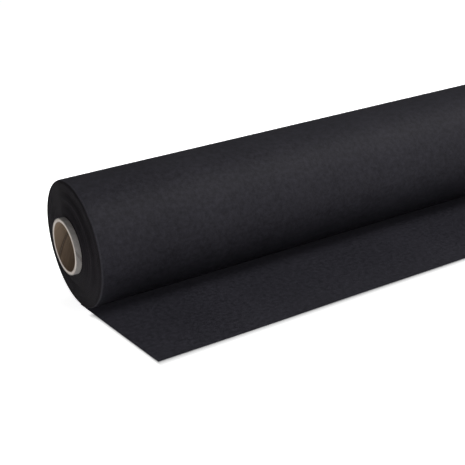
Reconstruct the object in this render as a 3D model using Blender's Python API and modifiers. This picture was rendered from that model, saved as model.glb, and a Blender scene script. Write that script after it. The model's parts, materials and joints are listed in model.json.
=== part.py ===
"""Backdrop paper roll: a long web of studio paper wound on a spiral-wound board core.

The roll lies on the floor with its axis along X, and the web leaves it from underneath, towards -Y.
The origin is on the floor, under the roll's axis, half-way along the outermost turn of paper.
Metres, +Z up. The core is glued up from plies, the inner end of the web is taped to it, and the web
is three pieces: the wound turns, the stretch under the roll, and the free end that feeds forward.
"""
import math

import bmesh
import bpy

COLLECTION_NAME = "backdrop_paper_roll"

# The web
PAPER_WIDTH = 1.35           # along the roll's axis
PAPER_THICKNESS = 0.00025
ROLL_RADIUS = 0.075          # outermost turn
END_LEAN = 0.0050            # the turns are pushed along the core: the innermost stands out by this much
SHEET_REACH = 0.192          # from below the roll's axis to the cut front edge
LEAD_OFF_TAIL = 0.012        # the stretch under the roll carries on this far behind the axis
LEAD_OFF_INSET = 0.005       # its front edge lies this far behind the free end's
FREE_END_START = 0.025       # from below the roll's axis to the free end's rear edge

# The core
CORE_BORE_RADIUS = 0.0285
LINER_THICKNESS = 0.0004
BODY_PLY_THICKNESS = 0.00062
BODY_PLY_COUNT = 5
OUTER_PLY_THICKNESS = 0.0004
CORE_PROUD = 0.0060          # the core stands out past the innermost turn at each end

# The tape that starts the web on the core
TAPE_WIDTH = 0.048           # along the roll's axis
TAPE_THICKNESS = 0.00015
TAPE_FACETS = 12             # length round the core, in facets of the core
TAPE_EDGE_DISTANCE = 0.10    # from the web's edge to the middle of an outer tape

# Clearances
GLUE_LINE = 0.0001           # between neighbouring plies, and round the tapes
CONTACT_GAP = 0.0003         # between sheets that lie on each other, and under the roll

# Facets round the axis
CORE_FACETS = 48
ROLL_FACETS = 72
MERGE_DISTANCE = 0.00001

MATERIALS = {
    "kraft_board": {"color": (0.105, 0.072, 0.047), "roughness": 0.85},
    "grey_board": {"color": (0.46, 0.42, 0.38), "roughness": 0.90},
    "wrap_board": {"color": (0.16, 0.15, 0.145), "roughness": 0.85},
    "paper_tape": {"color": (0.42, 0.30, 0.17), "roughness": 0.60},
    "black_paper": {"color": (0.020, 0.020, 0.024), "roughness": 0.88},
}


def clear_scene():
    for scene_object in list(bpy.data.objects):
        bpy.data.objects.remove(scene_object, do_unlink=True)


def make_collection(name):
    collection = bpy.data.collections.new(name)
    bpy.context.scene.collection.children.link(collection)
    return collection


def make_material(name):
    material = bpy.data.materials.new(name)
    material.use_nodes = True
    shader = material.node_tree.nodes["Principled BSDF"]
    shader.inputs["Base Color"].default_value = (*MATERIALS[name]["color"], 1.0)
    shader.inputs["Roughness"].default_value = MATERIALS[name]["roughness"]
    shader.inputs["Metallic"].default_value = 0.0
    return material


def finish_piece(piece, collection, material):
    for other in list(piece.users_collection):
        other.objects.unlink(piece)
    collection.objects.link(piece)
    piece.data.materials.clear()
    piece.data.materials.append(material)


def add_turned(name, profile, facets, collection, material, arc=math.tau, first_angle=0.0):
    """A closed outline of (radius, x) points, turned about the roll's axis.

    The outline runs from +X to -X along its outer side. The object's own Z is the roll's axis.
    """
    mesh = bpy.data.meshes.new(name)
    outline = bmesh.new()
    corners = [outline.verts.new((radius, 0.0, along)) for radius, along in profile]
    for index, corner in enumerate(corners):
        outline.edges.new((corner, corners[(index + 1) % len(corners)]))
    whole_turn = math.isclose(arc, math.tau)
    if not whole_turn:
        outline.faces.new(reversed(corners))
    outline.to_mesh(mesh)
    outline.free()
    piece = bpy.data.objects.new(name, mesh)
    collection.objects.link(piece)
    piece.location = (0.0, 0.0, axis_height())
    piece.rotation_euler = (first_angle, math.pi / 2, 0.0)
    if whole_turn:
        turn = piece.modifiers.new("turn", "SCREW")
        turn.axis = "Z"
        turn.angle = arc
        turn.steps = facets
        turn.render_steps = facets
        turn.use_merge_vertices = True
        turn.merge_threshold = MERGE_DISTANCE
    else:
        spin_outline(mesh, arc, facets)
    finish_piece(piece, collection, material)
    return piece


def spin_outline(mesh, arc, facets):
    """Sweeps the flat outline round the axis and closes the far end."""
    swept = bmesh.new()
    swept.from_mesh(mesh)
    start = swept.faces[:]
    bmesh.ops.spin(swept, geom=start + swept.edges[:] + swept.verts[:], cent=(0, 0, 0), axis=(0, 0, 1),
                   angle=arc, steps=facets, use_duplicate=False)
    bmesh.ops.recalc_face_normals(swept, faces=swept.faces[:])
    swept.to_mesh(mesh)
    swept.free()


def add_sheet(name, front, rear, bottom, collection, material):
    """A flat stretch of the web between two places along Y, its underside at bottom."""
    bpy.ops.mesh.primitive_cube_add(size=1.0, location=(0.0, (front + rear) / 2, bottom + PAPER_THICKNESS / 2),
                                    scale=(PAPER_WIDTH, rear - front, PAPER_THICKNESS))
    piece = bpy.context.object
    bpy.ops.object.transform_apply(location=False, rotation=False, scale=True)
    piece.name = name
    piece.data.name = name
    finish_piece(piece, collection, material)
    return piece


def axis_height():
    """The outermost turn rests on the stretch of web under it."""
    return PAPER_THICKNESS + CONTACT_GAP + ROLL_RADIUS


def core_ends():
    """Where the core starts and stops along X: it stands proud of the innermost turn."""
    half_length = PAPER_WIDTH / 2 + CORE_PROUD
    return -END_LEAN - half_length, -END_LEAN + half_length


def tube_profile(inner_radius, thickness):
    low, high = core_ends()
    outer_radius = inner_radius + thickness
    return [(outer_radius, high), (outer_radius, low), (inner_radius, low), (inner_radius, high)]


def add_core(collection, materials):
    """The liner, the board plies and the outer ply. Returns the core's outer radius."""
    plies = [("core_liner", LINER_THICKNESS, "kraft_board")]
    for number in range(1, BODY_PLY_COUNT + 1):
        plies.append((f"core_board_ply_{number}", BODY_PLY_THICKNESS, "grey_board"))
    plies.append(("core_outer_ply", OUTER_PLY_THICKNESS, "wrap_board"))
    radius = CORE_BORE_RADIUS
    for name, thickness, slot in plies:
        add_turned(name, tube_profile(radius, thickness), CORE_FACETS, collection, materials[slot])
        radius += thickness + GLUE_LINE
    return radius - GLUE_LINE


def add_tapes(core_radius, collection, materials):
    """Three strips that hold the web's inner end down on the core. Returns the radius over them."""
    inner_radius = core_radius + GLUE_LINE
    outer_radius = inner_radius + TAPE_THICKNESS
    outer_tape = PAPER_WIDTH / 2 - TAPE_EDGE_DISTANCE
    for name, middle in (("start_tape_left", -outer_tape), ("start_tape_middle", 0.0),
                         ("start_tape_right", outer_tape)):
        low = middle - END_LEAN - TAPE_WIDTH / 2
        high = low + TAPE_WIDTH
        profile = [(outer_radius, high), (outer_radius, low), (inner_radius, low), (inner_radius, high)]
        add_turned(name, profile, TAPE_FACETS, collection, materials["paper_tape"],
                   arc=math.tau * TAPE_FACETS / CORE_FACETS)
    return outer_radius


def add_wound_paper(tape_radius, collection, materials):
    """All the turns, each pushed a little further along the core than the one round it."""
    inner_radius = tape_radius + GLUE_LINE
    half_width = PAPER_WIDTH / 2
    profile = [(ROLL_RADIUS, half_width), (ROLL_RADIUS, -half_width),
               (inner_radius, -half_width - END_LEAN), (inner_radius, half_width - END_LEAN)]
    add_turned("wound_paper", profile, ROLL_FACETS, collection, materials["black_paper"])


def add_web_on_the_floor(collection, materials):
    """The stretch that the roll stands on, and over it the free end that feeds forward."""
    paper = materials["black_paper"]
    add_sheet("lead_off_sheet", LEAD_OFF_INSET - SHEET_REACH, LEAD_OFF_TAIL, 0.0, collection, paper)
    add_sheet("free_sheet", -SHEET_REACH, -FREE_END_START, PAPER_THICKNESS + CONTACT_GAP, collection, paper)


def build():
    clear_scene()
    collection = make_collection(COLLECTION_NAME)
    materials = {name: make_material(name) for name in MATERIALS}
    core_radius = add_core(collection, materials)
    tape_radius = add_tapes(core_radius, collection, materials)
    add_wound_paper(tape_radius, collection, materials)
    add_web_on_the_floor(collection, materials)


build()
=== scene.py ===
import json
import math
import random

import bpy
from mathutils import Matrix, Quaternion, Vector, noise

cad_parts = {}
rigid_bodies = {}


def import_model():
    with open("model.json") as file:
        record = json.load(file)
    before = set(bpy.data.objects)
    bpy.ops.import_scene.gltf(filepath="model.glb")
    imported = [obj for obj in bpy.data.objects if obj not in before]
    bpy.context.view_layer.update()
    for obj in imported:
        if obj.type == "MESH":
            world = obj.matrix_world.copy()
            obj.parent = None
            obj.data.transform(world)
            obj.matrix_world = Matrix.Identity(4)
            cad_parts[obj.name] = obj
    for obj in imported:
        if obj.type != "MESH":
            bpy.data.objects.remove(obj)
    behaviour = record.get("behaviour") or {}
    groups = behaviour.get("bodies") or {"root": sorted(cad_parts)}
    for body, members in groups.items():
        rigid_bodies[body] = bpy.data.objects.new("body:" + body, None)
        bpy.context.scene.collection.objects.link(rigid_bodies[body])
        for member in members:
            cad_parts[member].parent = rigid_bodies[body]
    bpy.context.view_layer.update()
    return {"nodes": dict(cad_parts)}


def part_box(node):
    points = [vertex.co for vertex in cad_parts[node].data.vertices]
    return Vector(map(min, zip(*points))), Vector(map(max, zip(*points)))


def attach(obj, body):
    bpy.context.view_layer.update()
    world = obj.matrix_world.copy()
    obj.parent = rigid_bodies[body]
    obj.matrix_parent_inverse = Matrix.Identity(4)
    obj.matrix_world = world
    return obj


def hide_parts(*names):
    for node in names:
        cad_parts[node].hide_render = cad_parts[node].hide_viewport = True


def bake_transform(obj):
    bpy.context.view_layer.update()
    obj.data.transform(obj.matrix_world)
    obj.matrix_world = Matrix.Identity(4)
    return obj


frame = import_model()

# The roll's own sizes, read from the frame
sheetLow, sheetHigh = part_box("free_sheet")
leadLow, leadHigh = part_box("lead_off_sheet")
paperLow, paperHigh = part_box("wound_paper")
linerLow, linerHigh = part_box("core_liner")
axisHeight = (linerLow.z + linerHigh.z) / 2
rollRadius = (paperHigh.z - paperLow.z) / 2
paperThickness = leadHigh.z - leadLow.z
endLean = sheetLow.x - paperLow.x  # the innermost turn stands out past the outermost by this much
paperWidth = sheetHigh.x - sheetLow.x
middleX = (sheetHigh.x + sheetLow.x) / 2
fullTurn = 2 * math.pi
sharpAngle = math.radians(60)
mergeWithin = 0.000002


def wallOf(node):
    # inner and outer radius of a tube about the roll's axis, and where it starts and ends
    reach = [math.hypot(v.co.y, v.co.z - axisHeight) for v in frame["nodes"][node].data.vertices]
    low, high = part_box(node)
    return {"inner": min(reach), "outer": max(reach), "low": low.x, "high": high.x}


def startClean():
    bpy.ops.object.select_all(action="DESELECT")


def namePiece(name):
    piece = bpy.context.object
    piece.name = name
    piece.data.name = name
    return piece


def pick(piece, test):
    # leaves edit mode on, with the points that pass the test selected
    bpy.ops.object.mode_set(mode="EDIT")
    bpy.ops.mesh.select_mode(type="VERT")
    bpy.ops.mesh.select_all(action="DESELECT")
    bpy.ops.object.mode_set(mode="OBJECT")
    for v in piece.data.vertices:
        v.select = test(v)
    bpy.ops.object.mode_set(mode="EDIT")


def addModifier(piece, kind, **settings):
    modifier = piece.modifiers.new(kind.lower(), kind)
    for name, value in settings.items():
        setattr(modifier, name, value)
    bpy.ops.object.modifier_apply(modifier=modifier.name)


def settle(piece, smoothAngle=40):
    # object at the origin, unturned and unscaled, with its place in its mesh
    bpy.ops.object.mode_set(mode="OBJECT")
    bpy.ops.object.transform_apply(location=True, rotation=True, scale=True)
    bpy.ops.object.shade_smooth_by_angle(angle=math.radians(smoothAngle))
    return piece


def coat(piece, material):
    piece.data.materials.clear()
    piece.data.materials.append(material)


def softNoise(name, size):
    texture = bpy.data.textures.new(name, "CLOUDS")
    texture.noise_scale = size
    return texture


class Wire:
    # one output socket; an operator on it adds a Math node
    def __init__(self, tree, socket=None):
        self.tree = tree
        self.socket = socket

    def node(self, kind, settings=None, values=None, out=0):
        made = self.tree.nodes.new(kind)
        for name, setting in (settings or {}).items():
            if name == "stops":
                self.setStops(made.color_ramp.elements, setting)
            else:
                setattr(made, name, setting)
        for name, value in (values or {}).items():
            if isinstance(value, Wire):
                self.tree.links.new(value.socket, made.inputs[name])
            else:
                made.inputs[name].default_value = value
        return Wire(self.tree, made.outputs[out])

    def setStops(self, elements, stops):
        while len(elements) < len(stops):
            elements.new(0.5)
        for element, (place, shade) in zip(elements, stops):
            element.position = place
            element.color = (shade, shade, shade, 1)

    def maths(self, operation, *others):
        return self.node("ShaderNodeMath", {"operation": operation}, dict(enumerate((self, *others))))

    def __add__(self, other):
        return self.maths("ADD", other)

    __radd__ = __add__

    def __mul__(self, other):
        return self.maths("MULTIPLY", other)

    __rmul__ = __mul__

    def __sub__(self, other):
        return self.maths("SUBTRACT", other)

    def __rsub__(self, other):
        return self * -1 + other

    def __truediv__(self, other):
        return self.maths("DIVIDE", other)

    def clamp(self):
        return self.node("ShaderNodeClamp", None, {"Value": self})


def newFinish(name, roughness, specular):
    material = bpy.data.materials.new(name)
    material.use_nodes = True
    shader = material.node_tree.nodes["Principled BSDF"]
    shader.inputs["Roughness"].default_value = roughness
    shader.inputs["Specular IOR Level"].default_value = specular
    return material, Wire(material.node_tree), shader


def feed(bench, shader, socketName, wire):
    bench.tree.links.new(wire.socket, shader.inputs[socketName])


def objectPlace(bench):
    return bench.node("ShaderNodeTexCoord", out="Object")


def grain(bench, place, scale, detail=2.0, roughness=0.5):
    return bench.node("ShaderNodeTexNoise", None,
                      {"Vector": place, "Scale": scale, "Detail": detail, "Roughness": roughness})


def stretched(bench, place, scale):
    return bench.node("ShaderNodeMapping", None, {"Vector": place, "Scale": scale})


def tint(bench, factor, low, high):
    return bench.node("ShaderNodeMix", {"data_type": "RGBA"},
                      {0: factor, 6: (*low, 1), 7: (*high, 1)}, out=2)


def overlaid(bench, share, body, color):
    return bench.node("ShaderNodeMix", {"data_type": "RGBA"}, {0: share, 6: body, 7: (*color, 1)}, out=2)


def ramp(bench, wire, *stops):
    return bench.node("ShaderNodeValToRGB", {"stops": stops}, {"Fac": wire})


def bumpFrom(bench, height, distance):
    return bench.node("ShaderNodeBump", None, {"Height": height, "Distance": distance, "Strength": 1.0})


def aboutAxis(bench, place):
    # where a point lies: along the roll, forward and up from its axis, and its distance from that axis
    source = {"Vector": place}
    along, forward, height = (bench.node("ShaderNodeSeparateXYZ", None, source, axis) for axis in "XYZ")
    up = height - axisHeight
    reach = (forward * forward + up * up).maths("SQRT")
    return {"along": along, "forward": forward, "up": up, "reach": reach}


blackPaper = {
    "deep": (0.0058, 0.0056, 0.0074),
    "lift": (0.0146, 0.0140, 0.0180),
    "mottleScale": 200,     # soft cloudiness of the pulp, a few millimetres across
    "gritScale": 760,       # flecks of about a millimetre
    "toothScale": 2300,     # paper tooth, under half a millimetre
    "bandScale": (9, 0.4, 0.4),
    "mottleShare": 2.2,
    "gritShare": 1.1,
    "toothShare": 0.9,
    "bandShare": 0.6,
    "roughness": 0.62,
    "patchyShine": 0.16,
    "specular": 0.07,
    "toothDepth": 0.00006,
    # colour of the painted highlight along the paper's edges
    "edgeTone": (0.027, 0.026, 0.031),
    "edgeHighlightWidth": 0.0022,    # painted highlight: the edges of the outermost turn are made lighter over this
    "edgeHighlightShare": 0.75,
    "edgeHighlightSteps": ((0.0, 1.0), (0.5, 0.7), (1.0, 0.0)),
    "edgeHighlightFloor": (0.002, 0.0045),  # height over the floor where the painted highlight starts, and where it is full
}


def makeBlackPaper():
    material, bench, shader = newFinish("blackPaper", blackPaper["roughness"], blackPaper["specular"])
    place = objectPlace(bench)
    mottle = grain(bench, place, blackPaper["mottleScale"], 4.0, 0.6)
    tooth = grain(bench, place, blackPaper["toothScale"], 3.0, 0.65)
    bands = grain(bench, stretched(bench, place, blackPaper["bandScale"]), 1.0, 3.0, 0.5)
    grit = grain(bench, place, blackPaper["gritScale"], 2.0, 0.6)
    shade = (mottle - 0.5) * blackPaper["mottleShare"] + (grit - 0.5) * blackPaper["gritShare"]
    shade += (tooth - 0.5) * blackPaper["toothShare"] + (bands - 0.5) * blackPaper["bandShare"] + 0.5
    body = tint(bench, shade.clamp(), blackPaper["deep"], blackPaper["lift"])
    spot = aboutAxis(bench, place)
    # painted highlight: lighter patches along the paper's edges, broken up by the grit and left off near
    # the floor
    fromEdge = paperWidth / 2 - (spot["along"] - middleX).maths("ABSOLUTE")
    nearEdge = ramp(bench, (fromEdge / blackPaper["edgeHighlightWidth"]).clamp(), *blackPaper["edgeHighlightSteps"])
    fromHeight, fullHeight = blackPaper["edgeHighlightFloor"]
    offFloor = ((spot["up"] + rollRadius - fromHeight) / (fullHeight - fromHeight)).clamp()
    edgeTone = nearEdge * offFloor * (grit * 1.6 - 0.1) * blackPaper["edgeHighlightShare"]
    feed(bench, shader, "Base Color", overlaid(bench, edgeTone.clamp(), body, blackPaper["edgeTone"]))
    feed(bench, shader, "Roughness", (mottle - 0.5) * blackPaper["patchyShine"] + blackPaper["roughness"])
    height = tooth * 0.7 + grit * 0.7 + mottle * 0.8
    feed(bench, shader, "Normal", bumpFrom(bench, height, blackPaper["toothDepth"]))
    return material


cutTurns = {
    "deep": (0.0043, 0.0038, 0.0048),
    "lift": (0.0190, 0.0168, 0.0200),
    "wanderScale": 22,
    "wander": 1.6,          # turns, how far a line strays from its own place
    "edgeStops": ((0.0, 0.0), (0.22, 1.0), (0.80, 1.0), (1.0, 0.0)),
    "slowScale": 60,
    "fuzzScale": 1500,
    "toneShare": 0.35,
    "slowShare": 0.45,
    "fuzzShare": 0.35,
    "leastShade": 0.08,
    "roughness": 0.85,
    "specular": 0.07,
    "lineDepth": 0.00010,
}


def makeCutTurns():
    # the cut edges of the turns: one thin line for each turn, some lighter, some sunk
    material, bench, shader = newFinish("cutTurns", cutTurns["roughness"], cutTurns["specular"])
    place = objectPlace(bench)
    wander = grain(bench, place, cutTurns["wanderScale"], 2.0) * cutTurns["wander"]
    turnNumber = aboutAxis(bench, place)["reach"] / paperThickness + wander
    whole = turnNumber.maths("FLOOR")
    tone = bench.node("ShaderNodeTexWhiteNoise", {"noise_dimensions": "1D"}, {"W": whole})
    edge = ramp(bench, turnNumber.maths("FRACT"), *cutTurns["edgeStops"])
    slow = grain(bench, place, cutTurns["slowScale"], 3.0)
    fuzz = grain(bench, place, cutTurns["fuzzScale"], 3.0, 0.7)
    shade = edge * (tone * cutTurns["toneShare"] + slow * cutTurns["slowShare"] + cutTurns["leastShade"])
    shade += (fuzz - 0.5) * cutTurns["fuzzShare"]
    feed(bench, shader, "Base Color", tint(bench, shade.clamp(), cutTurns["deep"], cutTurns["lift"]))
    height = edge * 0.7 + tone * 0.5 + fuzz * 0.4
    feed(bench, shader, "Normal", bumpFrom(bench, height, cutTurns["lineDepth"]))
    return material


def seamed(bench, shade, board):
    # a strip of board, darker along its two edges where it meets the next turn of itself
    body = tint(bench, shade.clamp(), board["deep"], board["lift"])
    across = bench.node("ShaderNodeAttribute", {"attribute_name": "stripAcross"}, out="Fac")
    toEdge = ((across - 0.5).maths("ABSOLUTE") * 2).clamp()
    edgeTone = ramp(bench, toEdge, (0.0, 0.0), (board["seamFrom"], 0.0), (1.0, 1.0))
    return overlaid(bench, edgeTone * board["seamShare"], body, board["seam"])


kraftBoard = {
    "deep": (0.110, 0.078, 0.054),
    "lift": (0.260, 0.190, 0.134),
    "seam": (0.040, 0.027, 0.018),
    "seamFrom": 0.955,      # share of the way from the strip's middle to its edge
    "seamShare": 0.75,
    "fibreScale": (60, 1400, 1),
    "streakScale": (14, 260, 1),
    "speckScale": 1900,
    "fibreShare": 0.9,
    "streakShare": 0.7,
    "speckShare": 0.8,
    "roughness": 0.78,
    "specular": 0.30,
    "fibreDepth": 0.00008,
}


def makeKraftBoard():
    # fibres run along the strip, so the pattern reads the strip's own place
    material, bench, shader = newFinish("kraftBoard", kraftBoard["roughness"], kraftBoard["specular"])
    place = objectPlace(bench)
    strip = bench.node("ShaderNodeAttribute", {"attribute_name": "stripPlace"}, out="Vector")
    fibres = grain(bench, stretched(bench, strip, kraftBoard["fibreScale"]), 1.0, 4.0, 0.6)
    streaks = grain(bench, stretched(bench, strip, kraftBoard["streakScale"]), 1.0, 3.0, 0.6)
    specks = grain(bench, place, kraftBoard["speckScale"], 2.0, 0.7)
    shade = (fibres - 0.5) * kraftBoard["fibreShare"] + (streaks - 0.5) * kraftBoard["streakShare"]
    shade = shade + (specks - 0.5) * kraftBoard["speckShare"] + 0.5
    feed(bench, shader, "Base Color", seamed(bench, shade, kraftBoard))
    feed(bench, shader, "Normal", bumpFrom(bench, fibres * 0.8 + specks * 0.5, kraftBoard["fibreDepth"]))
    return material


greyBoard = {
    "deep": (0.33, 0.295, 0.265),
    "lift": (0.62, 0.575, 0.535),
    "fleck": (0.20, 0.17, 0.15),
    "innerEdge": wallOf("core_board_ply_1")["inner"],
    "outerEdge": wallOf("core_outer_ply")["inner"],
    # darker at both edges of the cut rim
    "rimEdgeStops": ((0.0, 0.85), (0.16, 0.0), (0.62, 0.0), (1.0, 0.9)),
    "layerScale": (5200, 60),  # through the layers, and along them
    "fibreScale": 2200,
    "blotchScale": 220,
    "fleckScale": 1300,
    "fleckStops": ((0.0, 0.0), (0.66, 0.0), (0.72, 1.0)),
    "fleckShare": 0.7,
    "layerShare": 0.7,
    "fibreShare": 0.9,
    "blotchShare": 0.5,
    "paleness": 0.55,
    "roughness": 0.9,
    "specular": 0.2,
    "cutDepth": 0.00012,
}


def makeGreyBoard():
    # recycled board, pale and fuzzy where it is cut
    material, bench, shader = newFinish("greyBoard", greyBoard["roughness"], greyBoard["specular"])
    place = objectPlace(bench)
    spot = aboutAxis(bench, place)
    through, along = greyBoard["layerScale"]
    layerPlace = {"X": spot["reach"] * through, "Y": spot["forward"] * along, "Z": spot["up"] * along}
    layers = grain(bench, bench.node("ShaderNodeCombineXYZ", None, layerPlace), 1.0, 2.0)
    fibres = grain(bench, place, greyBoard["fibreScale"], 4.0, 0.7)
    blotch = grain(bench, place, greyBoard["blotchScale"], 2.0)
    shade = (layers - 0.5) * greyBoard["layerShare"] + (fibres - 0.5) * greyBoard["fibreShare"]
    shade = shade + (blotch - 0.5) * greyBoard["blotchShare"] + greyBoard["paleness"]
    body = tint(bench, shade.clamp(), greyBoard["deep"], greyBoard["lift"])
    flecks = ramp(bench, grain(bench, place, greyBoard["fleckScale"], 1.0), *greyBoard["fleckStops"])
    share = (spot["reach"] - greyBoard["innerEdge"]) / (greyBoard["outerEdge"] - greyBoard["innerEdge"])
    rimEdgeDark = ramp(bench, share.clamp(), *greyBoard["rimEdgeStops"])
    dark = (rimEdgeDark + flecks * greyBoard["fleckShare"]).clamp()
    color = overlaid(bench, dark, body, greyBoard["fleck"])
    feed(bench, shader, "Base Color", color)
    feed(bench, shader, "Normal", bumpFrom(bench, fibres + layers * 0.6, greyBoard["cutDepth"]))
    return material


wrapBoard = {
    "deep": (0.130, 0.121, 0.115),
    "lift": (0.285, 0.270, 0.260),
    "seam": (0.05, 0.045, 0.042),
    "seamFrom": 0.97,
    "seamShare": 0.7,
    "fibreScale": (70, 1100, 1),
    "speckScale": 1700,
    "blotchScale": 150,
    "fibreShare": 0.8,
    "speckShare": 0.8,
    "blotchShare": 0.8,
    "roughness": 0.82,
    "specular": 0.3,
    "fibreDepth": 0.00008,
}


def makeWrapBoard():
    material, bench, shader = newFinish("wrapBoard", wrapBoard["roughness"], wrapBoard["specular"])
    place = objectPlace(bench)
    strip = bench.node("ShaderNodeAttribute", {"attribute_name": "stripPlace"}, out="Vector")
    fibres = grain(bench, stretched(bench, strip, wrapBoard["fibreScale"]), 1.0, 4.0, 0.65)
    specks = grain(bench, place, wrapBoard["speckScale"], 3.0, 0.7)
    blotch = grain(bench, place, wrapBoard["blotchScale"], 3.0)
    shade = (fibres - 0.5) * wrapBoard["fibreShare"] + (specks - 0.5) * wrapBoard["speckShare"]
    shade = shade + (blotch - 0.5) * wrapBoard["blotchShare"] + 0.5
    feed(bench, shader, "Base Color", seamed(bench, shade, wrapBoard))
    feed(bench, shader, "Normal", bumpFrom(bench, fibres * 0.7 + specks * 0.6, wrapBoard["fibreDepth"]))
    return material


paperTape = {
    "deep": (0.33, 0.22, 0.115),
    "lift": (0.50, 0.37, 0.22),
    "ridgeScale": (300, 2600, 2600),
    "ridgeDepth": 0.0001,
    "roughness": 0.55,
    "specular": 0.4,
}


def makePaperTape():
    # creped tape: fine ridges across its length
    material, bench, shader = newFinish("paperTape", paperTape["roughness"], paperTape["specular"])
    place = objectPlace(bench)
    crinkle = grain(bench, stretched(bench, place, paperTape["ridgeScale"]), 1.0, 3.0, 0.6)
    feed(bench, shader, "Base Color", tint(bench, crinkle, paperTape["deep"], paperTape["lift"]))
    feed(bench, shader, "Normal", bumpFrom(bench, crinkle, paperTape["ridgeDepth"]))
    return material


finishes = {
    "blackPaper": makeBlackPaper(),
    "cutTurns": makeCutTurns(),
    "kraftBoard": makeKraftBoard(),
    "greyBoard": makeGreyBoard(),
    "wrapBoard": makeWrapBoard(),
    "paperTape": makePaperTape(),
}
print("finishes ready:", len(finishes))


spiralLay = {
    "pitch": 0.1154,       # one turn of the strip moves it this far along the core
    "seamGap": 0.00045,    # between neighbouring turns of the strip
    "linerSeam": -0.6444,  # where the liner's seam crosses the top of the tube, nearest its low end
    "wrapLag": 0.4,        # the outer ply's seam comes this share of a turn later
    "steps": 96,
    "cornerRound": 0.00006,
    "grainWidth": 0.84,    # share of the strip's width that the fibre pattern covers
}


def makeSpiralPly(name, wall, seamAtTop):
    # strips of board wound on the slant and glued
    startClean()
    pitch = spiralLay["pitch"]
    radius = (wall["inner"] + wall["outer"]) / 2
    start = seamAtTop - 2 * pitch
    turns = math.ceil((wall["high"] - start) / pitch) + 1
    bpy.ops.mesh.primitive_plane_add(size=1, location=(0, 0, axisHeight))
    ply = namePiece(name)
    pick(ply, lambda v: v.co.y > 0)
    bpy.ops.mesh.delete(type="VERT")
    bpy.ops.mesh.select_all(action="SELECT")
    stripWidth = pitch - spiralLay["seamGap"]
    bpy.ops.transform.resize(value=(stripWidth, 1, 1), center_override=(0, 0, axisHeight))
    bpy.ops.transform.translate(value=(start + pitch / 2, 0.5, radius))
    bpy.ops.object.mode_set(mode="OBJECT")
    addModifier(ply, "SCREW", axis="X", angle=fullTurn, screw_offset=pitch, iterations=turns,
                steps=spiralLay["steps"], render_steps=spiralLay["steps"], merge_threshold=0.00001)
    markStrip(ply, radius)
    trimTube(wall)
    addModifier(ply, "SOLIDIFY", thickness=wall["outer"] - wall["inner"], offset=0)
    addModifier(ply, "BEVEL", width=spiralLay["cornerRound"], segments=1, limit_method="ANGLE",
                angle_limit=sharpAngle)
    return settle(ply)


def markStrip(ply, radius):
    # each point keeps how far along its strip it is, and how far across
    perTurn = math.hypot(fullTurn * radius, spiralLay["pitch"])
    ply.data.attributes.new("stripPlace", "FLOAT_VECTOR", "POINT")
    ply.data.attributes.new("stripAcross", "FLOAT", "POINT")
    along = ply.data.attributes["stripPlace"]
    across = ply.data.attributes["stripAcross"]
    for index in range(len(ply.data.vertices)):
        step, side = divmod(index, 2)
        sideways = side * spiralLay["pitch"] * spiralLay["grainWidth"]
        along.data[index].vector = (step / spiralLay["steps"] * perTurn, sideways, 0)
        across.data[index].value = side


def trimTube(wall):
    for place, keepAbove in ((wall["low"], True), (wall["high"], False)):
        bpy.ops.object.mode_set(mode="EDIT")
        bpy.ops.mesh.select_all(action="SELECT")
        bpy.ops.mesh.bisect(plane_co=(place, 0, 0), plane_no=(1, 0, 0),
                            clear_inner=keepAbove, clear_outer=not keepAbove)
        bpy.ops.object.mode_set(mode="OBJECT")


boardPly = {
    "count": 5,
    "facets": 128,
    "cornerRound": 0.00012,
    "ragged": 0.00007,
    "raggedDepth": 0.0003,  # only points this close to a cut end are ragged
}


def makeBoardPly(name, wall, seed):
    startClean()
    middle = (wall["high"] + wall["low"]) / 2
    radius = (wall["inner"] + wall["outer"]) / 2
    length = wall["high"] - wall["low"]
    bpy.ops.mesh.primitive_cylinder_add(vertices=boardPly["facets"], radius=radius, depth=length,
                                        end_fill_type="NOTHING", location=(middle, 0, axisHeight),
                                        rotation=(0, math.pi / 2, 0))
    ply = namePiece(name)
    bpy.ops.object.transform_apply(location=True, rotation=True, scale=True)
    addModifier(ply, "SOLIDIFY", thickness=wall["outer"] - wall["inner"], offset=0)
    addModifier(ply, "BEVEL", width=boardPly["cornerRound"], segments=2, limit_method="ANGLE",
                angle_limit=sharpAngle)
    pick(ply, lambda v: min(v.co.x - wall["low"], wall["high"] - v.co.x) < boardPly["raggedDepth"])
    bpy.ops.transform.vertex_random(offset=boardPly["ragged"], seed=seed)
    return settle(ply)


def fitPly(ply, node, finish):
    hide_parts(node)
    coat(ply, finishes[finish])
    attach(ply, "roll")


def makeCore():
    liner = makeSpiralPly("linerPly", wallOf("core_liner"), spiralLay["linerSeam"])
    fitPly(liner, "core_liner", "kraftBoard")
    for number in range(1, boardPly["count"] + 1):
        node = f"core_board_ply_{number}"
        ply = makeBoardPly(f"boardPly{number}", wallOf(node), number)
        fitPly(ply, node, "greyBoard")
    wrapSeam = spiralLay["linerSeam"] + spiralLay["pitch"] * spiralLay["wrapLag"]
    wrap = makeSpiralPly("wrapPly", wallOf("core_outer_ply"), wrapSeam)
    fitPly(wrap, "core_outer_ply", "wrapBoard")
    for place in ("left", "middle", "right"):
        coat(frame["nodes"][f"start_tape_{place}"], finishes["paperTape"])


makeCore()
print("core ready")


turnEnds = {
    "groups": 70,          # bunches of turns that show as rings on the ends
    "groove": 0.00030,     # depth of the line between two bunches
    "jitter": 0.00016,     # how unevenly the bunches lie
    "swell": 0.00045,      # slow rise and fall of the bunches from core to rim
    "swellAngle": 17,      # radians of that wave, all told
    "ringEdge": 0.12,      # share of a bunch's width that slopes down to the line on each side
    "lastBunches": (-0.0014, -0.0001, 0.0004, -0.0003, 0.0005, 0.0001, 0.0003),  # from the rim inwards
    "steps": 168,
    "seed": 11,
}


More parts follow.
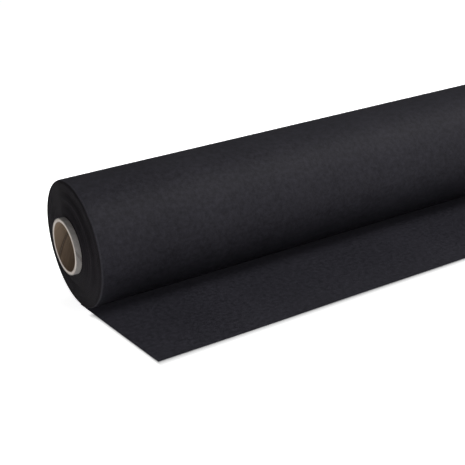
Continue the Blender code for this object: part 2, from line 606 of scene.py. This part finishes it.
def endRings(innerRadius, outerRadius):
    # (radius, how far out) from the outermost turn to the innermost
    dice = random.Random(turnEnds["seed"])
    groups = turnEnds["groups"]
    width = (outerRadius - innerRadius) / groups
    rings = []
    for group in range(groups):
        outer = outerRadius - group * width
        share = (group + 0.5) / groups
        out = endLean * share + dice.uniform(-1, 1) * turnEnds["jitter"]
        out += turnEnds["swell"] * math.sin(share * turnEnds["swellAngle"]) * math.sin(share * math.pi)
        out += turnEnds["lastBunches"][group] if group < len(turnEnds["lastBunches"]) else 0
        rings.append((outer - turnEnds["ringEdge"] * width, out))
        tilt = dice.uniform(-0.3, 0.6) * turnEnds["jitter"]
        rings.append((outer - (1 - turnEnds["ringEdge"]) * width, out + tilt))
        if group < groups - 1:
            rings.append((outer - width, out - turnEnds["groove"]))
    return rings


def drawOutline(name, outline):
    # a line of points above the axis, each (place along X, distance from the axis), ready to spin
    startClean()
    bpy.ops.mesh.primitive_plane_add(size=0.001, location=(outline[0][0], 0, axisHeight + outline[0][1]))
    piece = namePiece(name)
    bpy.ops.object.mode_set(mode="EDIT")
    bpy.ops.mesh.select_all(action="SELECT")
    bpy.ops.mesh.merge(type="CENTER")
    for (fromX, fromRadius), (toX, toRadius) in zip(outline, outline[1:]):
        bpy.ops.mesh.extrude_region_move(
            TRANSFORM_OT_translate={"value": (toX - fromX, 0, toRadius - fromRadius)})
    bpy.ops.mesh.select_all(action="SELECT")
    bpy.ops.mesh.remove_doubles(threshold=mergeWithin)
    bpy.ops.mesh.select_all(action="SELECT")
    return piece


def spinOutline(steps):
    bpy.ops.mesh.spin(steps=steps, angle=fullTurn, center=(0, 0, axisHeight), axis=(1, 0, 0))
    bpy.ops.mesh.select_all(action="SELECT")
    bpy.ops.mesh.remove_doubles(threshold=mergeWithin)
    bpy.ops.mesh.normals_make_consistent(inside=False)


def makeWoundTurns(outerRadius):
    wall = wallOf("wound_paper")
    rings = endRings(wall["inner"], outerRadius)
    outline = [(sheetLow.x - out, radius) for radius, out in reversed(rings)]
    # at the far end no bunch stands out past the edge of the outermost turn
    outline += [(sheetHigh.x - abs(out), radius) for radius, out in rings]
    turns = drawOutline("woundTurns", outline + outline[:1])
    spinOutline(turnEnds["steps"])
    return settle(turns, 50)


outerTurn = {
    "looseness": 0.00010,  # between the outermost turn and the ones under it
    "lengthParts": 90,
    "steps": 192,
    "wave": 0.00024,
    "waveSize": 0.16,
    # the last stretch of each end: (how far from the edge, how far it has dropped)
    "rolledEdge": ((0.0, 0.00080), (0.0005, 0.00046), (0.0012, 0.00018), (0.0021, 0.00005), (0.0032, 0.0)),
}


def makeOuterTurn():
    middle = rollRadius - paperThickness / 2 - outerTurn["wave"] / 2
    edge = outerTurn["rolledEdge"]
    firstX = sheetLow.x + edge[-1][0]
    lastX = sheetHigh.x - edge[-1][0]
    outline = [(sheetLow.x + away, middle - drop) for away, drop in edge]
    for number in range(1, outerTurn["lengthParts"]):
        outline.append((firstX + (lastX - firstX) * number / outerTurn["lengthParts"], middle))
    outline += [(sheetHigh.x - away, middle - drop) for away, drop in reversed(edge)]
    turn = drawOutline("outerTurn", outline)
    spinOutline(outerTurn["steps"])
    settle(turn)
    addModifier(turn, "DISPLACE", texture=softNoise("paperWave", outerTurn["waveSize"]),
                strength=outerTurn["wave"], mid_level=0.5, texture_coords="LOCAL")
    addModifier(turn, "SOLIDIFY", thickness=paperThickness, offset=0)
    return settle(turn, 50)


def makeRollPaper():
    outer = makeOuterTurn()
    turns = makeWoundTurns(rollRadius - paperThickness - outerTurn["looseness"] - outerTurn["wave"])
    coat(outer, finishes["blackPaper"])
    coat(turns, finishes["cutTurns"])
    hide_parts("wound_paper")
    for piece in (outer, turns):
        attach(piece, "roll")


makeRollPaper()
print("wound paper ready")


freeSheet = {
    "acrossParts": 260,
    "alongParts": 44,
    "tail": 0.006,         # carries on this far behind the roll's axis, up against the roll
    "ripple": 0.0005,      # gentle lift of the paper off the floor
    "rippleWaves": (5, 14),  # a metre, across and along
    "rippleSeed": 3.1,
    "edgeCurl": 0.0009,    # the cut front edge lifts by this much
    "curlLength": 0.02,
    "curlWaves": 7,
    "curlSeed": (0.4, 9.0),
    "riseLength": 0.035,   # starts to rise to the roll this far in front of its axis
    "underRoll": 0.00002,  # left free between the sheet and the roll
}


def sheetLift(x, y):
    # how high the underside lies above the floor
    toNip = min(1.0, max(0.0, 1 + y / freeSheet["riseLength"]))
    seat = axisHeight - rollRadius - paperThickness - freeSheet["underRoll"]
    rise = seat * toNip * toNip * (3 - 2 * toNip)
    behind = max(0.0, y)
    rise += rollRadius - math.sqrt(rollRadius ** 2 - behind ** 2)
    across, along = freeSheet["rippleWaves"]
    ripple = 0.5 + 0.5 * noise.noise(Vector((x * across, y * along, freeSheet["rippleSeed"])))
    toEdge = max(0.0, 1 - (y - sheetLow.y) / freeSheet["curlLength"])
    curlShare = 0.5 + 0.5 * noise.noise(Vector((x * freeSheet["curlWaves"], *freeSheet["curlSeed"])))
    curl = freeSheet["edgeCurl"] * toEdge ** 2 * curlShare
    return rise + (1 - toNip) * (freeSheet["ripple"] * ripple + curl)


def makeFreeSheet():
    startClean()
    length = freeSheet["tail"] - sheetLow.y
    bpy.ops.mesh.primitive_grid_add(
        x_subdivisions=freeSheet["acrossParts"], y_subdivisions=freeSheet["alongParts"], size=1,
        location=(middleX, sheetLow.y + length / 2, 0))
    sheet = namePiece("freeSheet")
    bpy.ops.transform.resize(value=(paperWidth, length, 1))
    settle(sheet)
    for v in sheet.data.vertices:
        v.co.z = sheetLift(v.co.x, v.co.y)
    addModifier(sheet, "SOLIDIFY", thickness=paperThickness, offset=1)
    settle(sheet)
    coat(sheet, finishes["blackPaper"])
    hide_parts("free_sheet", "lead_off_sheet")
    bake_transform(sheet)


makeFreeSheet()
print("free sheet ready")


studio = {
    "floorSize": 60,
    "floorHeight": -0.00005,
    "floorColor": (0.90, 0.90, 0.90),
    "floorGlow": 0.8,
    "floorRoughness": 0.9,
    "floorSpecular": 0.1,
    "paintedShadowReach": (0.0085, 0.0235),  # how far the painted shadow on the floor goes beside the sheet, and before it
    "paintedShadowFrom": -0.035,             # beside the sheet the painted shadow starts this far in front of the roll's axis
    # darkness of the painted shadow, from the sheet's edge outwards
    "paintedShadowSteps": ((0.0, 0.27), (0.06, 0.33), (0.17, 0.43), (0.27, 0.49),
                   (0.37, 0.57), (0.475, 0.63), (0.6, 0.69), (1.0, 1.0)),
    "surround": 0.11,                # light from the room on everything
    "backdrop": 1.0,
}

softLights = {
    # long banks above and in front, one behind for the top edge, one at the open end,
    # and a low one for the sheet alone
    "highBank": {"place": (0.7, -1.2, 2.1), "aim": (-0.2, 0, 0.05), "size": (2.6, 0.6), "power": 86},
    "frontBank": {"place": (1.1, -1.7, 1.55), "aim": (-0.2, 0, 0.05), "size": (2.6, 0.5), "power": 14},
    "sideBank": {"place": (1.6, -2.2, 0.8), "aim": (-0.2, 0, 0.05), "size": (2.6, 0.5), "power": 10},
    "lowFill": {"place": (-0.2, -2.4, 0.8), "aim": (-0.2, 0, 0.03), "size": (2.6, 0.5), "power": 10},
    "backBank": {"place": (0.5, 1.5, 2.0), "aim": (-0.2, 0, 0.1), "size": (2.6, 0.8), "power": 7},
    "endBank": {"place": (-2.5, -0.7, 0.9), "aim": (-0.6, 0, 0.05), "size": (1.4, 1.2), "power": 11},
    "sheetFill": {"place": (-1.5, -2.2, 0.4), "aim": (-0.2, 0, 0.03), "size": (1.6, 0.5), "power": 150,
                  "lightsOnly": "freeSheet"},
}


def paintedSheetShadow(bench):
    # painted shadow on the floor: 1 on the open floor, less close to the edges of the sheet, as a soft
    # dark line round it
    spot = aboutAxis(bench, objectPlace(bench))
    besideReach, beforeReach = studio["paintedShadowReach"]
    fromMiddle = (spot["along"] - middleX).maths("ABSOLUTE")
    beside = (fromMiddle - paperWidth / 2).maths("MAXIMUM", 0) / besideReach
    before = (sheetLow.y - spot["forward"]).maths("MAXIMUM", 0) / beforeReach
    behind = (spot["forward"] - studio["paintedShadowFrom"]).maths("MAXIMUM", 0) / besideReach
    away = (beside * beside + before * before + behind * behind).maths("SQRT")
    return ramp(bench, away.clamp(), *studio["paintedShadowSteps"])


def addFloor():
    startClean()
    bpy.ops.mesh.primitive_plane_add(size=studio["floorSize"], location=(0, 0, studio["floorHeight"]))
    floor = namePiece("studioFloor")
    material, bench, shader = newFinish("studioFloor", studio["floorRoughness"], studio["floorSpecular"])
    # the painted shadow darkens the floor's colour and glow round the sheet
    shade = paintedSheetShadow(bench)
    feed(bench, shader, "Base Color", tint(bench, shade, (0, 0, 0), studio["floorColor"]))
    feed(bench, shader, "Emission Color", shade)
    shader.inputs["Emission Strength"].default_value = studio["floorGlow"]
    coat(floor, material)


def addRoomLight():
    world = bpy.data.worlds.new("studioRoom")
    bpy.context.scene.world = world
    world.use_nodes = True
    tree = world.node_tree
    background = tree.nodes["Background"]
    background.inputs["Color"].default_value = (1, 1, 1, 1)
    seen = Wire(tree).node("ShaderNodeLightPath", out="Is Camera Ray")
    level = seen * (studio["backdrop"] - studio["surround"]) + studio["surround"]
    tree.links.new(level.socket, background.inputs["Strength"])


def addSoftLights():
    for name, light in softLights.items():
        bpy.ops.object.light_add(type="AREA", location=light["place"])
        lamp = bpy.context.object
        lamp.name = name
        lamp.data.shape = "RECTANGLE"
        lamp.data.size, lamp.data.size_y = light["size"]
        lamp.data.energy = light["power"]
        aim = Vector(light["aim"]) - Vector(light["place"])
        lamp.rotation_mode = "QUATERNION"
        lamp.rotation_quaternion = aim.to_track_quat("-Z", "Y")
        if "lightsOnly" in light:
            lit = bpy.data.collections.new(name + "Lit")
            lit.objects.link(bpy.data.objects[light["lightsOnly"]])
            lamp.light_linking.receiver_collection = lit


shot = {
    "fromEnd": (-0.3902, -1.0623, 0.4548),  # camera from the floor under the outermost turn's left edge
    "towards": (0.4632, 0.8248, -0.3243),
    "tilt": -5.49,                           # degrees, the camera leans to its right
    "lens": 80.98,
}


def addCamera():
    bpy.ops.object.camera_add(location=Vector(shot["fromEnd"]) + Vector((sheetLow.x, 0, 0)))
    camera = bpy.context.object
    camera.name = "shotCamera"
    level = Vector(shot["towards"]).to_track_quat("-Z", "Y")
    camera.rotation_mode = "QUATERNION"
    camera.rotation_quaternion = level @ Quaternion((0, 0, 1), math.radians(shot["tilt"]))
    camera.data.sensor_width = 36
    camera.data.lens = shot["lens"]
    camera.data.clip_start = 0.01
    bpy.context.scene.camera = camera


addFloor()
addRoomLight()
addSoftLights()
addCamera()
bpy.context.scene.view_settings.view_transform = "Standard"
print("studio ready")
